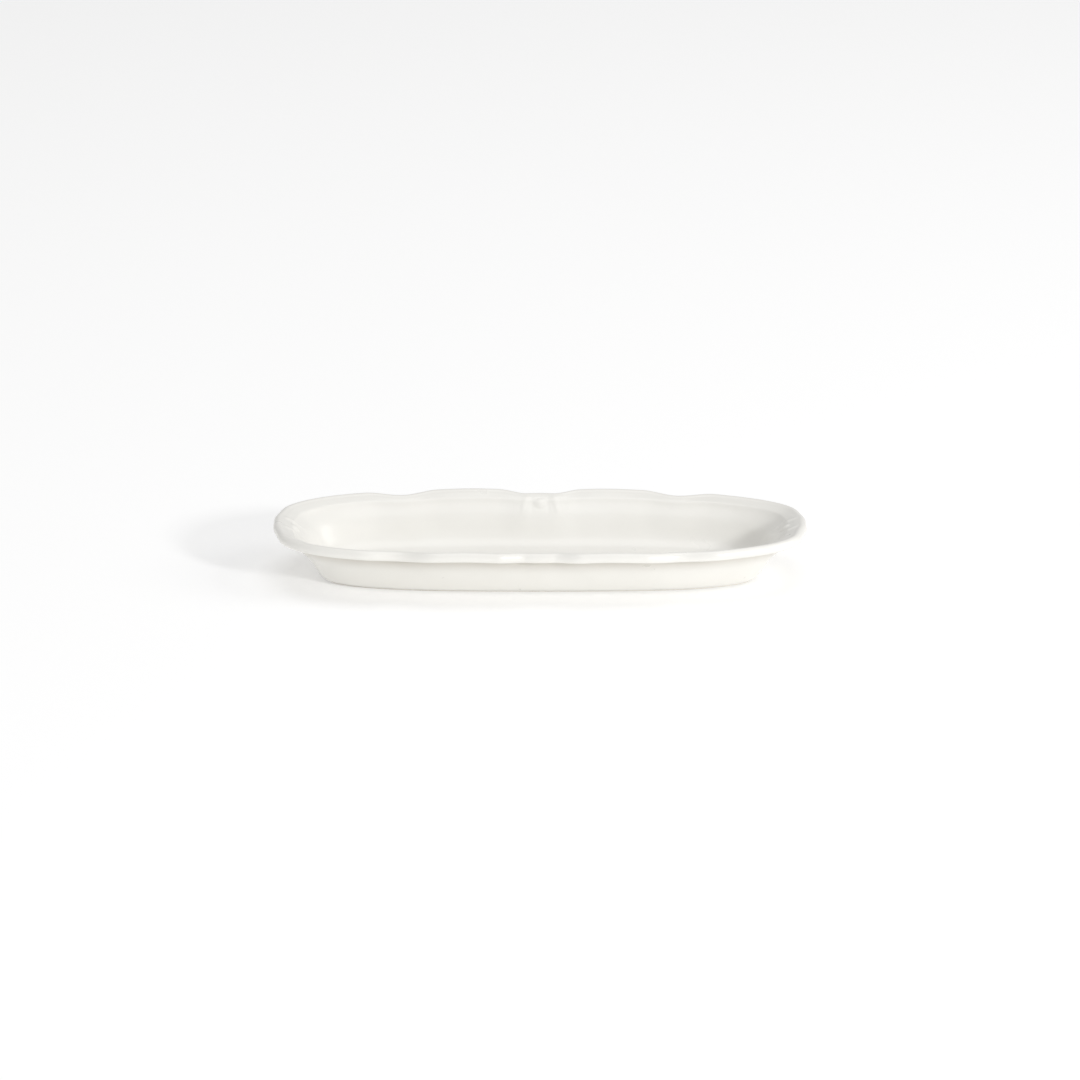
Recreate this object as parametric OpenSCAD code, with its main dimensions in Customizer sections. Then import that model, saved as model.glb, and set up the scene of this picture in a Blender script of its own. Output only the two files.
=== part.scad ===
// Long scalloped dish of white glazed clay, for serving asparagus.
// X runs along the dish, Y across it and Z up. The origin is on the table, under its middle.
// A slab of clay makes the floor, wall and flange. A rolled lip is luted round the flange,
// a foot ring under the floor, and a small relief inside each side and each end.

/* [Outline] */
// Length of the dish over its lip
plate_l = 350; // [320:1:380]
// Width of the dish over its long lobes
plate_w = 150; // [144:1:180]
// Squareness of the oval: 2 is an ellipse, and more gives fuller corners
oval_power = 3.13; // [2.7:0.01:3.4]

/* [Rim] */
// Height of the lip's crest above the table, before its waves
crest_h = 35.9; // [34:0.1:39]
// Width of the flange, from the mouth's edge to the outside of the lip
flange_w = 12.4; // [11.8:0.1:14]
// Fall of the flange from the lip's crest to the mouth's edge
flange_fall = 3.1; // [2:0.1:4]
// Thickness of the rolled lip
lip_t = 6.6; // [6:0.1:7.2]
// Radius of the rounded edge where the flange turns down into the well
mouth_r = 4; // [2:0.5:5]

/* [Scallops] */
// How far the rim is drawn in at the middle of each long side
side_dent = 5.5; // [3:0.1:8]
// Half the length of the straight bottom of that dent
side_flat = 9; // [6:0.5:12]
// Distance from the middle at which that dent has died out
side_reach = 28; // [22:0.5:34]
// How far the small piece in the dent swells out again
side_swell = 0.6; // [0:0.1:1.5]
// Fall of the rim along that dent
side_fall = 0.8; // [0:0.1:1.5]
// How far the rim is drawn in between a long lobe and a corner lobe
valley_dent = 5.5; // [2:0.1:7]
// Distance of that valley from the middle of the dish
valley_x = 91; // [84:1:98]
// Half the length of that valley
valley_reach = 24; // [20:1:32]
// How far the rim is drawn in on either side of each end's middle
end_dent = 1; // [0:0.1:3]
// Distance of those small dents from the dish's long axis
end_dent_y = 19; // [17:0.5:20]
// Half the length of each of those small dents
end_dent_reach = 12; // [8:0.5:13]
// Rise of the rim along each long lobe
lobe_rise = 0.9; // [0:0.1:1.5]
// Distance of the lobe's highest place from the middle of the dish
lobe_x = 46; // [40:1:54]
// Half the length of that rise
lobe_reach = 39; // [30:1:42]
// Fall of the rim in each valley
valley_fall = 1.2; // [0:0.1:1.8]
// Rise of the rim in the middle of each end
end_rise = 1.1; // [0:0.1:1.5]
// Half the length of that rise
end_rise_reach = 44; // [36:1:48]
// How far down the wall the scallops have died out
scallop_drop = 38; // [14:0.5:40]
// How much of the scallops is left at the mouth's edge; the flange takes up the rest
mouth_share = 0.45; // [0.3:0.01:1]

/* [Well] */
// Thickness of the clay slab
clay_t = 5; // [4.4:0.1:5.6]
// Lean of the wall away from upright, in degrees
wall_lean = 41; // [33:0.5:42]
// Inside radius between the wall and the floor
well_r = 1.5; // [1:0.5:8]
// How far the wall bows in towards the well at half its height
wall_bow = 1.5; // [0:0.1:2]
// Radius of the hollow under the flange, where it meets the wall
cove_r = 6; // [3:0.5:8]

/* [Foot] */
// Height of the foot ring
foot_h = 1.2; // [1:0.1:3]
// Width of the foot ring
foot_w = 5.5; // [4:0.1:6.5]

/* [Relief] */
// Half the width of each relief on the long sides
side_relief_w = 15; // [13:0.5:18]
// Half the width of each relief on the ends
end_relief_w = 14; // [13:0.5:16]
// Height that the pearl stands proud of the web
pearl_h = 1.2; // [0.8:0.1:2.4]
// Radius of the pearl
pearl_r = 4.2; // [3.6:0.1:5]
// Distance of the pearl's centre below the rounded edge of the mouth
pearl_gap = 2; // [0:0.5:4]
// Height that the two ribs beside the pearl stand proud of the web
rib_h = 0.9; // [0.6:0.1:1.8]
// Distance of each rib from the pearl's centre at the lip
rib_gap = 8.8; // [7.5:0.1:10]
// Half the width of each rib
rib_w = 2.9; // [2.4:0.1:3.5]
// How far each rib leans outwards on its way down into the well
rib_splay = 3.5; // [0:0.1:4]
// Thickness of the thin web of clay under the pearl and the ribs
web_t = 0.35; // [0.2:0.05:0.6]

/* [Hidden] */
glaze_colour = [0.97, 0.96, 0.94];
lip_colour = [0.99, 0.98, 0.96];
foot_colour = [0.90, 0.86, 0.79];
relief_colour = [0.94, 0.93, 0.90];

// Steps round a quarter of the oval: half a relief, the flank beside it, the corner and the lobes
relief_steps = 8;
flank_steps = 4;
corner_steps = 8;
lobe_steps = 15;
// Steps in the curves of the profile
lip_steps = 8;
edge_steps = 4;
heel_steps = 3;
outer_steps = 4;
// Places down the inside of the wall as shares of its height, closer together at the top
wall_shares = [0.06, 0.16, 0.29, 0.44, 0.61, 0.80];
// Rows of those places that the relief covers
relief_wall_rows = 4;

// Values from 0 to 1 that rise or swell smoothly, and a step along a direction
function clip(v) = max(0, min(1, v));
function ease(v) = let (s = clip(v)) s * s * (3 - 2 * s);
function swell(v) = (1 + cos(180 * clip(abs(v)))) / 2;
function unit(v) = v / norm(v);

// The mouth's edge is an oval. A profile point is its distance outwards from there and its height
mouth_a = plate_l / 2 - flange_w;
mouth_b = plate_w / 2 - flange_w;
mouth = [0, crest_h - flange_fall];
crest = [flange_w - lip_t / 2, crest_h];
up_flange = unit(crest - mouth);
up_wall = [sin(wall_lean), cos(wall_lean)];
out_wall = [cos(wall_lean), -sin(wall_lean)];

// The lip meets the flange at an upright joint
joint_top = mouth + (crest - mouth) * (flange_w - lip_t) / crest[0];
joint_low = joint_top - [0, clay_t / up_flange[0]];

// The curves between the wall and the floor have one centre, inside and out
heel_r = well_r + clay_t;
heel_h = foot_h + heel_r;
heel_d = -(well_r + (mouth[1] - heel_h) * sin(wall_lean)) / cos(wall_lean);
heel = [heel_d, heel_h];
inner_foot = heel + well_r * out_wall;
outer_foot = heel + heel_r * out_wall;

// Where the underside of the flange would meet the outside of the wall
armpit = outer_foot
    + up_wall * cross(joint_low - outer_foot, up_flange) / cross(up_wall, up_flange);

// Arc that rounds the corner at b between the ways to a and to c
function rounded(a, b, c, radius) =
    let (u = unit(a - b), v = unit(c - b), half = acos(u * v) / 2,
         r = min(radius, norm(a - b) * tan(half)),
         middle = b + unit(u + v) * r / sin(half),
         start = b + u * r / tan(half) - middle,
         turn = (2 * half - 180) * sign(cross(u, v)),
         from = atan2(start.y, start.x))
    [for (i = [0:edge_steps])
        middle + r * [cos(from + turn * i / edge_steps), sin(from + turn * i / edge_steps)]];

// Quarter curve from the foot of the wall round to the floor
function heel_arc(r) = [for (i = [0:heel_steps])
    let (a = (90 - wall_lean) * (1 - i / heel_steps)) heel + r * [sin(a), -cos(a)]];

// Points of a wall from a down to b, which bows in most at half its height
function bowed(a, b, shares) = [for (s = shares)
    a + (b - a) * s - out_wall * wall_bow * (1 - cos(360 * s)) / 2];

// Inside of the slab from the joint down to the floor, and outside from the floor up
mouth_arc = rounded(joint_top, mouth, inner_foot, mouth_r);
inside = concat(
    [joint_top, (joint_top + mouth_arc[0]) / 2],
    mouth_arc,
    bowed(mouth_arc[edge_steps], inner_foot, wall_shares),
    heel_arc(well_r));
cove_arc = rounded(joint_low, armpit, outer_foot, cove_r);
outer_shares = [for (i = [1:outer_steps - 1]) i / outer_steps];
outside_down = concat(
    [joint_low],
    cove_arc,
    bowed(cove_arc[edge_steps], outer_foot, outer_shares),
    heel_arc(heel_r));
outside = [for (i = [len(outside_down) - 1:-1:0]) outside_down[i]];

// Section of the lip, from under the joint round the outside and back to the top of the joint
lip_r = lip_t / 2;
lip_section = concat(
    [joint_low],
    [for (i = [0:lip_steps])
        let (a = 180 * i / lip_steps - 90) crest + [0, -lip_r] + lip_r * [cos(a), sin(a)]],
    [joint_top]);

// How far the rim is drawn in, and how far it rises, at a point of the oval
end_zone = end_dent_y + end_dent_reach;
side_zone = valley_x + valley_reach;
function on_side(p) = abs(p.x) < mouth_a - end_zone;
function valley(p) = swell((abs(p.x) - valley_x) / valley_reach);
function side_mid(p) = 1 - ease((abs(p.x) - side_flat) / (side_reach - side_flat));
function side_cut(p) =
    side_dent * side_mid(p) - side_swell * max(0, 1 - p.x * p.x / (side_flat * side_flat));
function dent(p) =
    on_side(p) ? side_cut(p) + valley_dent * valley(p)
               : end_dent * swell((abs(p.y) - end_dent_y) / end_dent_reach);
function rise(p) =
    on_side(p) ? lobe_rise * swell((abs(p.x) - lobe_x) / lobe_reach)
                   - valley_fall * valley(p) - side_fall * side_mid(p)
               : end_rise * swell(p.y / end_rise_reach);

// A place on the oval: its point, its outward normal, its dent and its rise
function place(t) =
    let (way = unit([mouth_a * cos(t), mouth_b * sin(t)]),
         sum = pow(abs(way.x) / mouth_a, oval_power) + pow(abs(way.y) / mouth_b, oval_power),
         p = way * pow(sum, -1 / oval_power),
         slope_x = sign(p.x) * pow(abs(p.x) / mouth_a, oval_power - 1) / mouth_a,
         slope_y = sign(p.y) * pow(abs(p.y) / mouth_b, oval_power - 1) / mouth_b)
    [p, unit([slope_x, slope_y]), dent(p), rise(p)];

// Places round the oval, closest together over the reliefs
function end_t(y) = atan2(y, mouth_b);
function side_t(x) = atan2(mouth_a, x);
function stretch(from, to, steps) = [for (i = [0:steps - 1]) from + (to - from) * i / steps];
quarter = concat(
    [for (y = stretch(0, end_relief_w, relief_steps)) end_t(y)],
    [for (y = stretch(end_relief_w, end_zone, flank_steps)) end_t(y)],
    stretch(end_t(end_zone), side_t(side_zone), corner_steps),
    [for (x = stretch(side_zone, side_reach, lobe_steps)) side_t(x)],
    [for (x = stretch(side_reach, side_relief_w, flank_steps)) side_t(x)],
    [for (x = stretch(side_relief_w, 0, relief_steps)) side_t(x)]);
quarter_steps = len(quarter);
there = concat(quarter, [90]);
places = [for (q = [0:3]) for (i = [0:quarter_steps - 1])
    place(90 * q + (q % 2 == 0 ? there[i] : 90 - there[quarter_steps - i]))];
count = len(places);

// The scallops are whole on the lip, weaken over the flange and die out down the wall
function scallop(q) = mouth_share * ease(1 + (q - mouth) * up_wall / scallop_drop)
    + (1 - mouth_share) * ease(q.x / joint_top.x);
function point(c, q) =
    let (s = scallop(q), p = places[c % count], out = p[0] + p[1] * (q[0] - s * p[2]))
    [out.x, out.y, q[1] + s * p[3]];
function ring(q) = [for (c = [0:count - 1]) point(c, q)];

// Two triangles of the cell with corners a, b, c and d, whose split leans to the middle
function cell(a, b, c, d, leaning) =
    leaning ? [[a, b, c], [a, c, d]] : [[a, b, d], [b, c, d]];
function leans(c) = floor(c % count / quarter_steps) % 2 == 0;

// Cells between two rings, given by the numbers of their first points
function band(low, high, turned = false) = [for (i = [0:count - 1])
    let (j = (i + 1) % count)
    each cell(low + i, high + i, high + j, low + j, leans(i) != turned)];

module dish_body() {
    section = concat(outside, inside);
    last = len(section) - 1;
    color(glaze_colour)
        polyhedron(
            points = [for (q = section) each ring(q)],
            faces = concat(
                [[for (i = [0:count - 1]) i]],
                [for (k = [0:last - 1]) each band(k * count, (k + 1) * count)],
                [[for (i = [count - 1:-1:0]) last * count + i]]),
            convexity = 6);
}

module rolled_lip() {
    last = len(lip_section) - 1;
    color(lip_colour)
        polyhedron(
            points = [for (q = lip_section) each ring(q)],
            faces = concat(
                [for (k = [0:last - 1]) each band(k * count, (k + 1) * count)],
                band(last * count, 0, turned = true)),
            convexity = 6);
}

module foot_ring() {
    color(foot_colour)
        linear_extrude(foot_h)
            difference() {
                polygon([for (p = places) p[0] + p[1] * heel_d]);
                polygon([for (p = places) p[0] + p[1] * (heel_d - foot_w)]);
            }
}

// The relief lies on the flange, over the mouth's edge and on the top of the wall.
// Its rows are those of the slab's inside, and this is how far each lies below the joint
relief_rows = 2 + len(mouth_arc) + relief_wall_rows;
row_drops = [for (k = 0, run = 0; k < relief_rows;
    k = k + 1, run = run + norm(inside[k] - inside[k - 1])) run];
relief_drop = row_drops[relief_rows - 1];
pearl_drop = row_drops[1 + len(mouth_arc)] + pearl_gap;

// Height of the relief at a distance along the rim and a distance down from the joint
function pearl_top(along, down) =
    let (r = norm([along, down - pearl_drop]) / pearl_r) pearl_h * sqrt(1 - clip(r * r));
function rib_top(along, down) =
    let (middle = rib_gap + rib_splay * down / relief_drop, fade = (relief_drop - down) / pearl_r)
    rib_h * swell((abs(along) - middle) / rib_w) * ease(fade);

// Normal of the slab's inside at row k and place c
function row_normal(k) =
    let (way = unit(inside[k + 1] - inside[max(0, k - 1)])) [way[1], -way[0]];
function normal(c, k) =
    let (n = row_normal(k), out = places[c % count][1]) [out.x * n[0], out.y * n[0], n[1]];

// A thin pad whose back is the slab's own surface and whose front has the pearl and ribs
module relief(middle) {
    first = count + middle - relief_steps;
    cols = 2 * relief_steps + 1;
    rows = relief_rows;
    centre = point(middle, joint_top);
    along_rim = [-places[middle][1].y, places[middle][1].x, 0];
    inner = function (k, c) k > 0 && k < rows - 1 && c > 0 && c < cols - 1;
    back = [for (k = [0:rows - 1]) for (c = [0:cols - 1]) point(first + c, inside[k])];
    front = [for (k = [1:rows - 2]) for (c = [1:cols - 2])
        let (p = point(first + c, inside[k]),
             along = (p - centre) * along_rim,
             top = max(pearl_top(along, row_drops[k]), rib_top(along, row_drops[k])))
        p + (web_t + top) * normal(first + c, k)];
    back_id = function (k, c) k * cols + c;
    front_id = function (k, c)
        inner(k, c) ? rows * cols + (k - 1) * (cols - 2) + c - 1 : back_id(k, c);
    // A triangle that has no corner inside the pad would have no thickness, and is left out
    triangles = [for (k = [0:rows - 2]) for (c = [0:cols - 2])
        for (f = cell([k, c], [k + 1, c], [k + 1, c + 1], [k, c + 1], leans(first + c)))
            if (inner(f[0][0], f[0][1]) || inner(f[1][0], f[1][1]) || inner(f[2][0], f[2][1])) f];
    color(relief_colour)
        polyhedron(
            points = concat(back, front),
            faces = concat(
                [for (f = triangles) [for (q = f) front_id(q[0], q[1])]],
                [for (f = triangles) [for (i = [2:-1:0]) back_id(f[i][0], f[i][1])]]),
            convexity = 4);
}

module right_relief() relief(0);
module back_relief() relief(quarter_steps);
module left_relief() relief(2 * quarter_steps);
module front_relief() relief(3 * quarter_steps);

dish_body();
rolled_lip();
foot_ring();
front_relief();
back_relief();
left_relief();
right_relief();
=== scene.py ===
import math

import bpy
import numpy as np
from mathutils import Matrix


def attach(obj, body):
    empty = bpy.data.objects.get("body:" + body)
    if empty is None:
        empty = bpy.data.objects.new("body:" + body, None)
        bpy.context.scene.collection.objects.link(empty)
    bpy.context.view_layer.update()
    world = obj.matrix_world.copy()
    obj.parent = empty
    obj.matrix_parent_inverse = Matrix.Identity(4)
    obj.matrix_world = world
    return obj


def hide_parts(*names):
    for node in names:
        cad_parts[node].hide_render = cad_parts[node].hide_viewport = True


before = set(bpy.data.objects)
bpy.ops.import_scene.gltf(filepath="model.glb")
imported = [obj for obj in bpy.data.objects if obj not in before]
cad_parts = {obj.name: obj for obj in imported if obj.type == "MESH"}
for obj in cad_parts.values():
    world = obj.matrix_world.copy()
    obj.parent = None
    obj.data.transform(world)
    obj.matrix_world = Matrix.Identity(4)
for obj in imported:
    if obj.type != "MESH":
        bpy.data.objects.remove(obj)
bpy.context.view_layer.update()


# Slab of clay
# One sheet of white clay makes the floor, the leaning wall and the flange. It is turned here as
# a round blank, then eased to the long oval, and its rim is pushed in and lifted by hand.
MM = 0.001
PLATE_LONG, PLATE_WIDE, OVAL_POWER = 350, 150, 3.13
CREST_HIGH, FLANGE_WIDE, FLANGE_FALL = 35.9, 12.4, 3.1
LIP_THICK, CLAY_THICK = 6.6, 5
MOUTH_ROUND, WELL_ROUND, WELL_SOFT, COVE_ROUND = 4, 1.5, 18, 2
WALL_LEAN, WALL_BOW = math.radians(41), 1.5
FOOT_HIGH, FOOT_WIDE = 1.2, 5.5
BLANK_STEPS, OVAL_STEPS = 840, 16000
FLAT_STEPS, ROUND_STEPS = 4, 8
WALL_STEPS_IN, WALL_STEPS_OUT, HEEL_STEPS_IN, HEEL_STEPS_OUT = 20, 14, 12, 10
MERGE = MM / 200

MOUTH_LONG = PLATE_LONG / 2 - FLANGE_WIDE
MOUTH_WIDE = PLATE_WIDE / 2 - FLANGE_WIDE
MOUTH = np.array([0, CREST_HIGH - FLANGE_FALL])
CREST = np.array([FLANGE_WIDE - LIP_THICK / 2, CREST_HIGH])
UP_FLANGE = (CREST - MOUTH) / np.linalg.norm(CREST - MOUTH)
UP_WALL = np.array([math.sin(WALL_LEAN), math.cos(WALL_LEAN)])
OUT_WALL = np.array([math.cos(WALL_LEAN), -math.sin(WALL_LEAN)])

# Where the lip is luted to the flange, and where the wall turns into the floor
JOINT_TOP = MOUTH + (CREST - MOUTH) * (FLANGE_WIDE - LIP_THICK) / CREST[0]
JOINT_LOW = JOINT_TOP - np.array([0, CLAY_THICK / UP_FLANGE[0]])
HEEL_ROUND = WELL_ROUND + CLAY_THICK
HEEL_Z = FOOT_HIGH + HEEL_ROUND
HEEL_D = -(WELL_ROUND + (MOUTH[1] - HEEL_Z) * math.sin(WALL_LEAN)) / math.cos(WALL_LEAN)
HEEL = np.array([HEEL_D, HEEL_Z])
INNER_FOOT = HEEL + WELL_ROUND * OUT_WALL
OUTER_FOOT = HEEL + HEEL_ROUND * OUT_WALL


def turned_by(a, b):
    return a[0] * b[1] - a[1] * b[0]


ARMPIT = OUTER_FOOT + UP_WALL * (
    turned_by(JOINT_LOW - OUTER_FOOT, UP_FLANGE) / turned_by(UP_WALL, UP_FLANGE))


def rounded(before, corner, after, radius, steps):
    """Arc that rounds the corner between two straight runs of the section."""
    u = (before - corner) / np.linalg.norm(before - corner)
    v = (after - corner) / np.linalg.norm(after - corner)
    half = math.acos(float(u @ v)) / 2
    radius = min(radius, float(np.linalg.norm(before - corner)) * math.tan(half))
    middle = corner + (u + v) / np.linalg.norm(u + v) * radius / math.sin(half)
    start = corner + u * radius / math.tan(half) - middle
    turn = (2 * half - math.pi) * math.copysign(1, turned_by(u, v))
    first = math.atan2(start[1], start[0])
    return [middle + radius * np.array([math.cos(first + turn * i / steps),
                                        math.sin(first + turn * i / steps)])
            for i in range(steps + 1)]


def heel_arc(middle, radius, steps):
    """Quarter curve from the foot of the wall round to the floor."""
    lean = math.pi / 2 - WALL_LEAN
    return [middle + radius * np.array([math.sin(lean * (1 - i / steps)),
                                        -math.cos(lean * (1 - i / steps))])
            for i in range(steps + 1)]


def bowed(top, low, steps):
    """Points down a wall that bows in most at half its height, without its two ends."""
    return [top + (low - top) * i / steps
            - OUT_WALL * WALL_BOW * (1 - math.cos(2 * math.pi * i / steps)) / 2
            for i in range(1, steps)]


def straight(start, end, steps):
    """Points along a straight run of the section, without its end."""
    return [start + (end - start) * i / steps for i in range(steps)]


# Inside, the clay is wiped to a softer curve than outside
soft_heel = HEEL + (WELL_SOFT - WELL_ROUND) * np.array(
    [-math.tan((math.pi / 2 - WALL_LEAN) / 2), 1])
soft_foot = soft_heel + WELL_SOFT * OUT_WALL
FLOOR_D = soft_heel[0]
mouth_arc = rounded(JOINT_TOP, MOUTH, INNER_FOOT, MOUTH_ROUND, ROUND_STEPS)
inside = (straight(JOINT_TOP, mouth_arc[0], FLAT_STEPS) + mouth_arc
          + bowed(mouth_arc[-1], soft_foot, WALL_STEPS_IN)
          + heel_arc(soft_heel, WELL_SOFT, HEEL_STEPS_IN))
cove_arc = rounded(JOINT_LOW, ARMPIT, OUTER_FOOT, COVE_ROUND, ROUND_STEPS)
outside = ([JOINT_LOW] + cove_arc
           + bowed(cove_arc[-1], OUTER_FOOT, WALL_STEPS_OUT)
           + heel_arc(HEEL, HEEL_ROUND, HEEL_STEPS_OUT))
if np.allclose(cove_arc[0], JOINT_LOW):
    outside = outside[1:]

# The oval of the mouth's edge, read by the length along it
turn = np.linspace(0, 2 * math.pi, OVAL_STEPS + 1)
way = np.column_stack((MOUTH_LONG * np.cos(turn), MOUTH_WIDE * np.sin(turn)))
way /= np.linalg.norm(way, axis=1)[:, None]
size = np.array([MOUTH_LONG, MOUTH_WIDE])
oval = way * (np.abs(way / size) ** OVAL_POWER).sum(axis=1)[:, None] ** (-1 / OVAL_POWER)
oval_out = np.sign(oval) * np.abs(oval / size) ** (OVAL_POWER - 1) / size
oval_out /= np.linalg.norm(oval_out, axis=1)[:, None]
oval_length = np.concatenate(
    ([0], np.cumsum(np.linalg.norm(np.diff(oval, axis=0), axis=1))))
OVAL_ROUND = oval_length[-1]
BLANK_R = OVAL_ROUND / (2 * math.pi)


def ease(v):
    s = np.clip(v, 0, 1)
    return s * s * (3 - 2 * s)


def swell(v):
    return (1 + np.cos(math.pi * np.clip(np.abs(v), 0, 1))) / 2


# The scallops, each with its middle, its half length and its depth or height
SIDE_DENT, SIDE_FLAT, SIDE_REACH, SIDE_SWELL, SIDE_FALL = 5.5, 9, 28, 0.6, 0.8
VALLEY_DENT, VALLEY_X, VALLEY_REACH, VALLEY_FALL = 5.5, 91, 24, 1.2
END_DENT, END_DENT_Y, END_DENT_REACH = 1, 19, 12
LOBE_RISE, LOBE_X, LOBE_REACH = 0.9, 46, 39
END_RISE, END_RISE_REACH = 1.1, 44
SCALLOP_DROP, MOUTH_SHARE = 38, 0.45
# The hand-made rim isn't quite even: the right end came out narrower, and the rim tips a little
NARROW_END, NARROW_X, NARROW_REACH = 0.045, 150, 60
RIM_TIP, TIP_REACH = 0.32, 120


def dents(x, y):
    """How far the rim is pushed in at a place of the oval."""
    side = (SIDE_DENT * (1 - ease((np.abs(x) - SIDE_FLAT) / (SIDE_REACH - SIDE_FLAT)))
            - SIDE_SWELL * np.maximum(0, 1 - (x / SIDE_FLAT) ** 2)
            + VALLEY_DENT * swell((np.abs(x) - VALLEY_X) / VALLEY_REACH))
    end = END_DENT * swell((np.abs(y) - END_DENT_Y) / END_DENT_REACH)
    return np.where(np.abs(x) < MOUTH_LONG - END_DENT_Y - END_DENT_REACH, side, end)


def rises(x, y):
    """How far the rim is lifted at a place of the oval."""
    side = (LOBE_RISE * swell((np.abs(x) - LOBE_X) / LOBE_REACH)
            - VALLEY_FALL * swell((np.abs(x) - VALLEY_X) / VALLEY_REACH)
            - SIDE_FALL * (1 - ease((np.abs(x) - SIDE_FLAT) / (SIDE_REACH - SIDE_FLAT))))
    end = END_RISE * swell(y / END_RISE_REACH)
    return np.where(np.abs(x) < MOUTH_LONG - END_DENT_Y - END_DENT_REACH, side, end)


def pressed(spots):
    """Where points of the round blank, in mm, go as it is eased to the oval."""
    along = np.arctan2(spots[:, 1], spots[:, 0]) % (2 * math.pi) * BLANK_R
    at = np.column_stack([np.interp(along, oval_length, oval[:, k]) for k in (0, 1)])
    out = np.column_stack([np.interp(along, oval_length, oval_out[:, k]) for k in (0, 1)])
    reach = np.hypot(spots[:, 0], spots[:, 1]) - BLANK_R
    from_mouth = np.column_stack((reach, spots[:, 2])) - MOUTH
    share = (MOUTH_SHARE * ease(1 + from_mouth @ UP_WALL / SCALLOP_DROP)
             + (1 - MOUTH_SHARE) * ease(reach / JOINT_TOP[0]))
    flat = at + out * (np.maximum(reach, FLOOR_D) - share * dents(at[:, 0], at[:, 1]))[:, None]
    inner = np.minimum(1, (BLANK_R + reach) / (BLANK_R + FLOOR_D))
    flat *= inner[:, None]
    flat[:, 1] *= 1 - NARROW_END * swell((flat[:, 0] - NARROW_X) / NARROW_REACH)
    tip = RIM_TIP * np.clip(flat[:, 0] / TIP_REACH, -1, 1)
    high = spots[:, 2] + share * (rises(at[:, 0], at[:, 1]) - tip)
    return np.column_stack((flat, high))


def read_spots(piece):
    """Places of a piece's points, in mm."""
    co = np.empty(len(piece.data.vertices) * 3)
    piece.data.vertices.foreach_get("co", co)
    return co.reshape(-1, 3) / MM


def set_spots(piece, spots):
    piece.data.vertices.foreach_set("co", (spots * MM).ravel())
    piece.data.update()


def lathe(name, section, closed=False):
    """Spin a section of (distance outside the mouth, height) points to a piece of the blank."""
    bpy.ops.object.select_all(action="DESELECT")
    first = ((BLANK_R + section[0][0]) * MM, 0, section[0][1] * MM)
    bpy.ops.mesh.primitive_plane_add(size=MM, location=first)
    piece = bpy.context.object
    piece.name = name
    bpy.ops.object.transform_apply(location=True, rotation=True, scale=True)
    bpy.ops.object.mode_set(mode="EDIT")
    bpy.ops.mesh.select_mode(type="VERT")
    bpy.ops.mesh.select_all(action="SELECT")
    bpy.ops.mesh.merge(type="CENTER")
    steps = [b - a for a, b in zip(section[:-1], section[1:])]
    for step in steps + ([section[0] - section[-1]] if closed else []):
        bpy.ops.mesh.extrude_region_move(
            TRANSFORM_OT_translate={"value": (step[0] * MM, 0, step[1] * MM)})
    bpy.ops.mesh.select_all(action="SELECT")
    bpy.ops.mesh.remove_doubles(threshold=MERGE)
    bpy.ops.mesh.select_all(action="SELECT")
    bpy.ops.mesh.spin(steps=BLANK_STEPS // 4, angle=math.pi / 2, center=(0, 0, 0), axis=(0, 0, 1))
    bpy.ops.object.mode_set(mode="OBJECT")
    bpy.ops.object.modifier_add(type="MIRROR")
    piece.modifiers[-1].use_axis = (True, True, False)
    piece.modifiers[-1].merge_threshold = MERGE
    bpy.ops.object.modifier_apply(modifier=piece.modifiers[-1].name)
    bpy.ops.object.mode_set(mode="EDIT")
    bpy.ops.mesh.select_all(action="SELECT")
    bpy.ops.mesh.remove_doubles(threshold=MERGE)
    bpy.ops.mesh.normals_make_consistent(inside=False)
    bpy.ops.object.mode_set(mode="OBJECT")
    return piece


def corner_points(piece):
    """Point and face of every face corner of a piece."""
    mesh = piece.data
    points = np.empty(len(mesh.loops), np.int32)
    mesh.loops.foreach_get("vertex_index", points)
    corners = np.empty(len(mesh.polygons), np.int32)
    mesh.polygons.foreach_get("loop_total", corners)
    return points, np.repeat(np.arange(len(corners)), corners)


NEAR_JOINT, SAME_SPOT = 0.01, 0.002


def on_joint(piece):
    """Faces of a blank that lie in the joint between the slab and the lip."""
    spots = read_spots(piece)
    away = np.abs(np.hypot(spots[:, 0], spots[:, 1]) - BLANK_R - JOINT_TOP[0])
    points, faces = corner_points(piece)
    furthest = np.zeros(len(piece.data.polygons))
    np.maximum.at(furthest, faces, away[points])
    return furthest < NEAR_JOINT


def melt_over_joint(parts):
    """Let the glaze run over a joint without a line: one normal for both pieces' points there."""
    spots, normals = [], []
    for piece, hidden in parts:
        mesh = piece.data
        face_normal = np.empty(len(mesh.polygons) * 3)
        mesh.polygon_normals.foreach_get("vector", face_normal)
        area = np.empty(len(mesh.polygons))
        mesh.polygons.foreach_get("area", area)
        area[hidden] = 0
        points, faces = corner_points(piece)
        normal = np.zeros((len(mesh.vertices), 3))
        np.add.at(normal, points, (face_normal.reshape(-1, 3) * area[:, None])[faces])
        spots.append(read_spots(piece))
        normals.append(normal)
    together = np.round(np.vstack(spots) / SAME_SPOT).astype(np.int64)
    same = np.unique(together, axis=0, return_inverse=True)[1].ravel()
    total = np.zeros((same.max() + 1, 3))
    np.add.at(total, same, np.vstack(normals))
    total = total[same]
    total /= np.maximum(np.linalg.norm(total, axis=1), 1e-12)[:, None]
    first = 0
    for piece, hidden in parts:
        count = len(piece.data.vertices)
        piece.data.normals_split_custom_set_from_vertices(total[first:first + count].tolist())
        first += count


# Painted shade: the glaze colour is darkened in the hollow under the lip and down the wall below
# it, where the lip's shadow falls
SHADE_UP, SHADE_DOWN = 8, 19


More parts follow.
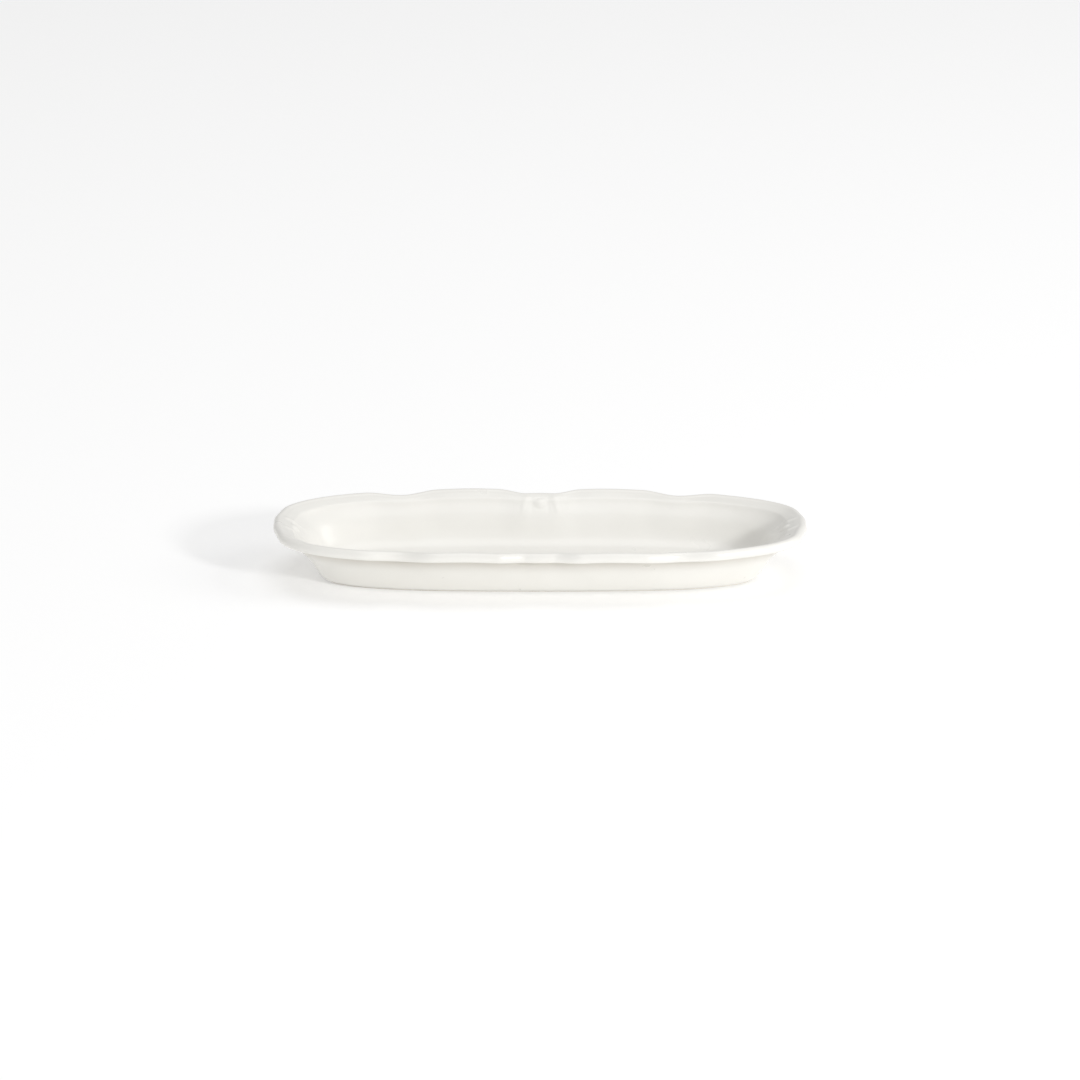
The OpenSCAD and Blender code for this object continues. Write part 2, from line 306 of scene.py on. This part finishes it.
def paint_under_lip_shade(piece):
    """Mark how much painted shade darkens the glaze at each point of a blank, from 0 to 1."""
    spots = read_spots(piece)
    at = np.column_stack((np.hypot(spots[:, 0], spots[:, 1]) - BLANK_R, spots[:, 2]))
    up, out = (at - ARMPIT) @ UP_WALL, (at - ARMPIT) @ OUT_WALL
    # The painted shade is strongest in the hollow under the lip and fades up the lip and down the
    # wall
    under_lip_shade = swell(np.hypot(np.where(up > 0, up / SHADE_UP, up / SHADE_DOWN), out / SHADE_UP))
    under_lip_shade[(at - OUTER_FOOT) @ OUT_WALL < -CLAY_THICK / 2] = 0
    mark = piece.data.attributes.new("under_lip_shade", "FLOAT", "POINT")
    mark.data.foreach_set("value", under_lip_shade)


FLOOR_SHARES = (0.97, 0.92, 0.85, 0.75, 0.6, 0.4, 0.2, 0)
floor_in = [np.array([(BLANK_R + FLOOR_D) * s - BLANK_R, FOOT_HIGH + CLAY_THICK])
            for s in FLOOR_SHARES]
floor_under = [np.array([p[0], FOOT_HIGH]) for p in [soft_heel] + floor_in]
slab = lathe("slab", floor_under[::-1] + outside[::-1] + inside + floor_in)


def grey(tone):
    return tone, tone, tone, 1


def noise(tree, scale, detail):
    """Cloudy pattern on the piece's own coordinates."""
    place = tree.nodes.new("ShaderNodeTexCoord")
    cloud = tree.nodes.new("ShaderNodeTexNoise")
    cloud.inputs["Scale"].default_value = scale
    cloud.inputs["Detail"].default_value = detail
    tree.links.new(place.outputs["Object"], cloud.inputs["Vector"])
    return cloud.outputs["Fac"]


def between(tree, amount, start, end, low, high):
    """Tone that goes from low to high while the amount goes from start to end."""
    ramp = tree.nodes.new("ShaderNodeValToRGB")
    for stop, position, tone in zip(ramp.color_ramp.elements, (start, end), (low, high)):
        stop.position = position
        stop.color = tone
    tree.links.new(amount, ramp.inputs["Fac"])
    return ramp.outputs["Color"]


def bumps(tree, height, strength, deep):
    """Fine unevenness that is lit but has no shape of its own."""
    node = tree.nodes.new("ShaderNodeBump")
    node.inputs["Strength"].default_value = strength
    node.inputs["Distance"].default_value = deep
    tree.links.new(height, node.inputs["Height"])
    return node


# Warm white glaze that has melted smooth
GLAZE_IOR, COAT, COAT_ROUGH = 1.5, 0.2, 0.1
glaze = bpy.data.materials.new("glaze")
glaze.use_nodes = True
tree = glaze.node_tree
skin = tree.nodes["Principled BSDF"]
skin.inputs["IOR"].default_value = GLAZE_IOR
skin.inputs["Coat Weight"].default_value = COAT
skin.inputs["Coat Roughness"].default_value = COAT_ROUGH
# Its tone drifts over the width of a hand, and it is darkened by painted shade under the lip
DRIFT_SCALE, GLAZE_LOW, GLAZE_HIGH = 14, (0.86, 0.845, 0.8, 1), (0.895, 0.882, 0.84, 1)
# Colour that multiplies the glaze as painted shade under the lip
PAINTED_SHADE_TONE = (0.76, 0.74, 0.705, 1)
drift = between(tree, noise(tree, DRIFT_SCALE, 3), 0.3, 0.7, GLAZE_LOW, GLAZE_HIGH)
# Reads the painted shade mark laid on the points under the lip
shade_mark = tree.nodes.new("ShaderNodeAttribute")
shade_mark.attribute_name = "under_lip_shade"
shade_multiply = tree.nodes.new("ShaderNodeMix")
shade_multiply.data_type = "RGBA"
shade_multiply.blend_type = "MULTIPLY"
shade_multiply.inputs["B"].default_value = PAINTED_SHADE_TONE
tree.links.new(shade_mark.outputs["Fac"], shade_multiply.inputs["Factor"])
tree.links.new(drift, shade_multiply.inputs["A"])
tree.links.new(shade_multiply.outputs["Result"], skin.inputs["Base Color"])
# Its gloss varies a little
GLOSS_SCALE, GLAZE_SMOOTH, GLAZE_ROUGH = 45, 0.27, 0.36
gloss = between(tree, noise(tree, GLOSS_SCALE, 4), 0.3, 0.7, grey(GLAZE_SMOOTH), grey(GLAZE_ROUGH))
tree.links.new(gloss, skin.inputs["Roughness"])
# Slow ripples of the melt, and a fine skin over them
RIPPLE_SCALE, RIPPLE_DEEP = 60, 0.0004
SKIN_SCALE, SKIN_DEEP = 700, 0.00006
slow = bumps(tree, noise(tree, RIPPLE_SCALE, 2), 0.5, RIPPLE_DEEP)
fine = bumps(tree, noise(tree, SKIN_SCALE, 2), 0.25, SKIN_DEEP)
tree.links.new(slow.outputs["Normal"], fine.inputs["Normal"])
tree.links.new(fine.outputs["Normal"], skin.inputs["Normal"])

slab.data.materials.append(glaze)
# Painted shade under the lip, marked on the slab's points
paint_under_lip_shade(slab)
slab_hidden = on_joint(slab)
set_spots(slab, pressed(read_spots(slab)))
bpy.ops.object.shade_smooth()
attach(slab, "root")
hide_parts("dish_body")


# Rolled lip
# A round coil of the same clay, luted to the edge of the flange and following its scallops.
# Its top runs level into the flange, and its underside overhangs the wall.
LIP_ROUND, LIP_STEPS = LIP_THICK / 2, 24
TOP_SHARES = (0.8, 0.6, 0.4, 0.2, 0)
FLANGE_LEAN = math.atan2(UP_FLANGE[1], UP_FLANGE[0])
lip_round = [CREST - np.array([0, LIP_ROUND])
             + LIP_ROUND * np.array([math.cos(a), math.sin(a)])
             for a in np.linspace(-math.pi / 2, math.pi / 2 + FLANGE_LEAN, LIP_STEPS + 1)]
# From the roll the top sinks into the plane of the flange without a crease
lip_meet = JOINT_TOP + UP_FLANGE * ((lip_round[-1] - JOINT_TOP) @ UP_FLANGE)
lip_sink = lip_round[-1] - lip_meet
lip_top = [JOINT_TOP + (lip_meet - JOINT_TOP) * s + lip_sink * ease(s)
           for s in TOP_SHARES]
lip_section = straight(JOINT_LOW, lip_round[0], FLAT_STEPS) + lip_round + lip_top
lip = lathe("lip", lip_section, closed=True)
lip.data.materials.append(glaze)
# Painted shade under the lip, marked on the lip's points
paint_under_lip_shade(lip)
lip_hidden = on_joint(lip)
set_spots(lip, pressed(read_spots(lip)))
bpy.ops.object.shade_smooth()
melt_over_joint([(slab, slab_hidden), (lip, lip_hidden)])
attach(lip, "root")
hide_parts("rolled_lip")


# Foot ring
# A low ring of clay under the floor that the dish stands on. Its sides are glazed, and its
# bearing face is wiped bare so that it doesn't stick to the kiln shelf.
FOOT_EDGE, FOOT_COVE, FOOT_SUNK = 0.4, 0.6, 0.04
COVE_Z = FOOT_HIGH - FOOT_COVE + FOOT_SUNK


def quarter(d, z, radius, start, end, steps=5):
    """Quarter of a circle in the section, between two directions in degrees."""
    return [np.array([d, z]) + radius * np.array([math.cos(a), math.sin(a)])
            for a in np.linspace(math.radians(start), math.radians(end), steps + 1)]


foot_out, foot_in = HEEL_D, HEEL_D - FOOT_WIDE
foot_section = (
    quarter(foot_out + FOOT_COVE, COVE_Z, FOOT_COVE, 90, 180)
    + quarter(foot_out - FOOT_EDGE, FOOT_EDGE, FOOT_EDGE, 0, -90)
    + straight(np.array([foot_out - FOOT_EDGE, 0]), np.array([foot_in + FOOT_EDGE, 0]),
               FLAT_STEPS)[1:]
    + quarter(foot_in + FOOT_EDGE, FOOT_EDGE, FOOT_EDGE, -90, -180)
    + quarter(foot_in - FOOT_COVE, COVE_Z, FOOT_COVE, 0, 90))
foot = lathe("foot", foot_section, closed=True)

# Dry, slightly gritty clay, rubbed in patches
SPECK_SCALE, RUB_SCALE, GRIT_DEEP = 900, 35, 0.00008
CLAY_LOW, CLAY_HIGH = (0.66, 0.61, 0.53, 1), (0.79, 0.755, 0.68, 1)
CLAY_SHINE, CLAY_SMOOTH, CLAY_ROUGH = 0.25, 0.72, 0.9
clay = bpy.data.materials.new("bare_clay")
clay.use_nodes = True
tree = clay.node_tree
skin = tree.nodes["Principled BSDF"]
skin.inputs["Specular IOR Level"].default_value = CLAY_SHINE
speck = noise(tree, SPECK_SCALE, 4)
rub = noise(tree, RUB_SCALE, 3)
both = tree.nodes.new("ShaderNodeMath")
both.operation = "ADD"
tree.links.new(speck, both.inputs[0])
tree.links.new(rub, both.inputs[1])
tone = between(tree, both.outputs["Value"], 0.75, 1, CLAY_LOW, CLAY_HIGH)
tree.links.new(tone, skin.inputs["Base Color"])
dry = between(tree, rub, 0, 1, grey(CLAY_SMOOTH), grey(CLAY_ROUGH))
tree.links.new(dry, skin.inputs["Roughness"])
grit = bumps(tree, speck, 0.6, GRIT_DEEP)
tree.links.new(grit.outputs["Normal"], skin.inputs["Normal"])

foot.data.materials.append(glaze)
foot.data.materials.append(clay)
for face in foot.data.polygons:
    face.material_index = int(face.center.z < FOOT_EDGE * MM)
set_spots(foot, pressed(read_spots(foot)))
bpy.ops.object.shade_smooth()
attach(foot, "root")
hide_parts("foot_ring")


# Reliefs
# A pearl of clay between two splayed ribs, pressed in a small mould and laid over the flange and
# the top of the wall in the middle of each side and each end. The ribs run up to the lip.
PEARL_HIGH, PEARL_ROUND, PEARL_DOWN, PEARL_BLUNT = 0.8, 4.6, 9, 0.7
RIB_HIGH, RIB_HALF, RIB_APART, RIB_SPLAY, RIB_UP = 0.3, 3.7, 8.8, 3.5, 2.6
RIB_THINNING, RIB_FADE_LOW, RIB_FADE_TOP = 0.35, 9, 6
GROOVE_DEEP, GROOVE_APART, GROOVE_HALF, GROOVE_TOP, GROOVE_FADE = 0.9, 5.4, 2.2, 1, 4
PAD_THICK, PAD_DOWN, PAD_SOFT, PAD_SUNK = 0.15, 20, 7, 0.25
PAD_STEP, PAD_EDGE, PAD_SHARP = 0.4, 0.009, math.radians(50)
BLANK_THICK, BLANK_NEAR = 1, 0.001

# The slope that they lie on, read by the length down it from the joint
slope = lip_top[:-1] + inside
slope_at = np.concatenate(([0], np.cumsum([np.linalg.norm(b - a)
                                           for a, b in zip(slope[:-1], slope[1:])])))
slope_at -= slope_at[len(lip_top) - 1]
slope_d, slope_z = np.array(slope).T
slope_way = np.column_stack((np.gradient(slope_d, slope_at), np.gradient(slope_z, slope_at)))
slope_way /= np.linalg.norm(slope_way, axis=1)[:, None]


def relief_high(along, down, half, bold):
    """Height of the relief above the slab, by the distance along the rim and down the slope."""
    edge = (ease((half - np.abs(along)) / PAD_SOFT)
            * ease((PAD_DOWN - down) / PAD_SOFT) * ease((down + RIB_UP) / RIB_UP))
    off = np.hypot(along, down - PEARL_DOWN) / PEARL_ROUND
    pearl = PEARL_HIGH * swell(off) ** PEARL_BLUNT
    share = np.clip(down / PAD_DOWN, 0, 1)
    rib_at = RIB_APART + RIB_SPLAY * share
    rib_half = RIB_HALF * (1 - RIB_THINNING * share)
    rib = (RIB_HIGH * swell((np.abs(along) - rib_at) / rib_half)
           * ease((PAD_DOWN - down) / RIB_FADE_LOW) * ease((down + RIB_UP) / RIB_FADE_TOP))
    groove = 1 - (GROOVE_DEEP * swell((np.abs(along) - GROOVE_APART) / GROOVE_HALF)
                  * ease((down - GROOVE_TOP) / GROOVE_FADE))
    return edge * PAD_THICK * groove + bold * np.maximum(pearl, rib)


def relief(name, node, face, half, bold):
    """Model one relief flat on its back, bend it down the slope and lay it at its place."""
    bpy.ops.object.select_all(action="DESELECT")
    deep = PAD_DOWN + RIB_UP
    bpy.ops.mesh.primitive_grid_add(x_subdivisions=round(2 * half / PAD_STEP),
                                    y_subdivisions=round(deep / PAD_STEP), size=MM)
    piece = bpy.context.object
    piece.name = name
    bpy.ops.object.mode_set(mode="EDIT")
    bpy.ops.transform.resize(value=(2 * half, deep, 1))
    bpy.ops.transform.translate(value=(0, (deep / 2 - RIB_UP) * MM, 0))
    bpy.ops.object.mode_set(mode="OBJECT")
    bpy.ops.object.modifier_add(type="SOLIDIFY")
    piece.modifiers[-1].thickness = BLANK_THICK * MM
    piece.modifiers[-1].offset = -1
    bpy.ops.object.modifier_apply(modifier=piece.modifiers[-1].name)
    along, down, side = read_spots(piece).T
    # The back lies in the slab, and so does the very edge of the front
    front = side > -BLANK_THICK / 2
    rim = ((np.abs(along) > half - BLANK_NEAR) | (down < BLANK_NEAR - RIB_UP)
           | (down > PAD_DOWN - BLANK_NEAR))
    high = np.maximum(relief_high(along, down, half, bold), PAD_EDGE)
    high = np.where(front, np.where(rim, -PAD_EDGE, high), -PAD_SUNK)
    d = np.interp(down, slope_at, slope_d)
    z = np.interp(down, slope_at, slope_z)
    way_d = np.interp(down, slope_at, slope_way[:, 0])
    way_z = np.interp(down, slope_at, slope_way[:, 1])
    reach = BLANK_R + d + high * way_z
    angle = math.radians(face) + along / BLANK_R
    set_spots(piece, pressed(np.column_stack(
        (reach * np.cos(angle), reach * np.sin(angle), z - high * way_d))))
    bpy.ops.object.mode_set(mode="EDIT")
    bpy.ops.mesh.select_all(action="SELECT")
    bpy.ops.mesh.normals_make_consistent(inside=False)
    bpy.ops.object.mode_set(mode="OBJECT")
    piece.data.materials.append(glaze)
    bpy.ops.object.shade_smooth_by_angle(angle=PAD_SHARP)
    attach(piece, "root")
    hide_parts(node)


# Those of the ends came out of the mould crisper and higher
relief("relief_right", "right_relief", 0, 17, 1.7)
relief("relief_back", "back_relief", 90, 18, 1)
relief("relief_left", "left_relief", 180, 17, 1.7)
relief("relief_front", "front_relief", 270, 18, 1)


# Floor of the studio
# A wide sheet of pale paper lies under the dish. It glows faintly, so that it stays
# nearly white at the dish, as the plain ground of a product photograph does.
PAPER_WIDE, PAPER_TONE, PAPER_ROUGH, PAPER_GLOW = 30, 0.93, 0.9, 0.18
bpy.ops.object.select_all(action="DESELECT")
bpy.ops.mesh.primitive_plane_add(size=PAPER_WIDE, location=(0, 0, 0))
table = bpy.context.object
table.name = "studio_floor"
paper = bpy.data.materials.new("paper")
paper.use_nodes = True
sheet = paper.node_tree.nodes["Principled BSDF"]
sheet.inputs["Base Color"].default_value = grey(PAPER_TONE)
sheet.inputs["Roughness"].default_value = PAPER_ROUGH
sheet.inputs["Emission Color"].default_value = grey(1)
sheet.inputs["Emission Strength"].default_value = PAPER_GLOW
table.data.materials.append(paper)


# Lamps
# Four soft square lamps stand round the dish: a small key low at the front right, which shades
# the inside behind the near wall, two fills, and a wide one overhead. The room adds the rest.
LAMP_AWAY, DISH = 4, (0, 0, 0.02)
ROOM_LIGHT = 0.5


def lamp(name, side, high, size, power):
    """Soft lamp by its turn round the dish and its height, in degrees, turned to the dish."""
    a, e = math.radians(side), math.radians(high)
    place = (LAMP_AWAY * math.cos(e) * math.cos(a), LAMP_AWAY * math.cos(e) * math.sin(a),
             LAMP_AWAY * math.sin(e))
    bpy.ops.object.light_add(type="AREA", location=place)
    light = bpy.context.object
    light.name = name
    light.data.size = size
    light.data.energy = power
    dx, dy, dz = (a - p for a, p in zip(DISH, place))
    light.rotation_euler = (math.atan2(math.hypot(dx, dy), -dz), 0,
                            math.atan2(dy, dx) - math.pi / 2)


lamp("key", -51, 20, 0.4, 57)
lamp("left_fill", -140, 28, 2, 7)
lamp("right_fill", 0, 33, 2, 25)
lamp("overhead", 90, 82, 3, 33)
scene = bpy.context.scene
scene.world = bpy.data.worlds.new("studio")
scene.world.use_nodes = True
room = scene.world.node_tree.nodes["Background"]
room.inputs["Color"].default_value = grey(1)
room.inputs["Strength"].default_value = ROOM_LIGHT
scene.view_settings.view_transform = "Standard"


# Camera
# It stands 4.56 m off, 17.4 degrees above the table, square to the long side, with a long lens
# that leaves the dish about half the width of the picture.
AWAY, HIGH_ANGLE = 4.56, math.radians(17.4)
LENS, SENSOR, FAR_SIGHT = 231.2, 36, 100
DISH_MIDDLE, AIM = 0.0175, (0, 0.00164, 0.02275)
spot = (0, -AWAY * math.cos(HIGH_ANGLE), DISH_MIDDLE + AWAY * math.sin(HIGH_ANGLE))
bpy.ops.object.camera_add(location=spot)
camera = bpy.context.object
camera.data.lens = LENS
camera.data.sensor_width = SENSOR
camera.data.clip_end = FAR_SIGHT
camera.rotation_euler = (
    math.pi / 2 - math.atan2(spot[2] - AIM[2], AIM[1] - spot[1]), 0, 0)
scene.camera = camera
